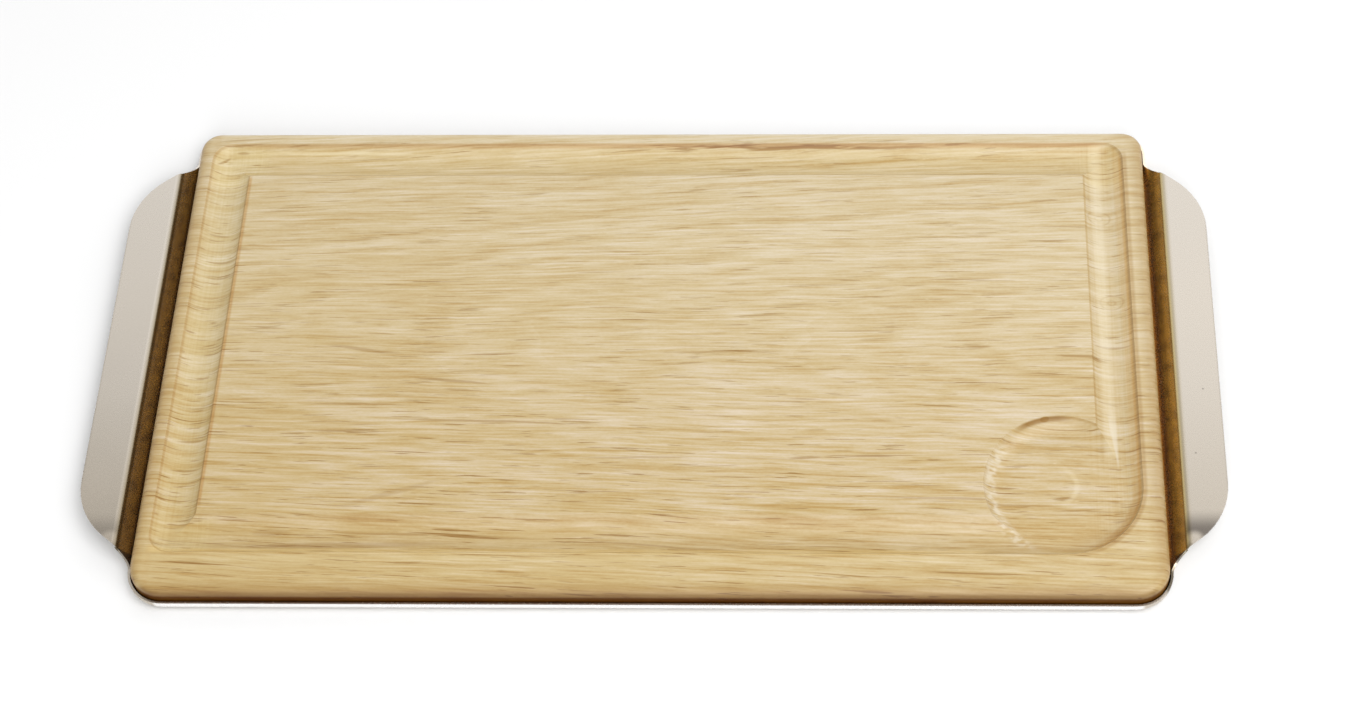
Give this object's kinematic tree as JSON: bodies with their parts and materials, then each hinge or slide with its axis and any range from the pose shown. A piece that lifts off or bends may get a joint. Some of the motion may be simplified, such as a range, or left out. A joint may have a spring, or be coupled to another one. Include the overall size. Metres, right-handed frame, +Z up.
{
  "type": "steak board",
  "caption": "Oak steak board with a juice groove and a round sauce well, lying loose in a shallow stainless tray whose end walls lean outwards and fold over into flat handle wings.",
  "frame": {"origin": "centre of the tray's flat underside, which the set stands on", "axes": "+X along the board towards the end with the sauce well, +Y across the board towards its back edge, away from the well, +Z up"},
  "size_m": [0.4038, 0.2028, 0.0098],
  "materials": {
    "oak": "oiled, flat-sawn, grain along the board",
    "steel": "satin stainless steel"
  },
  "bodies": {
    "root": {"board": "oak", "tray": "steel"}
  },
  "joints": []
}
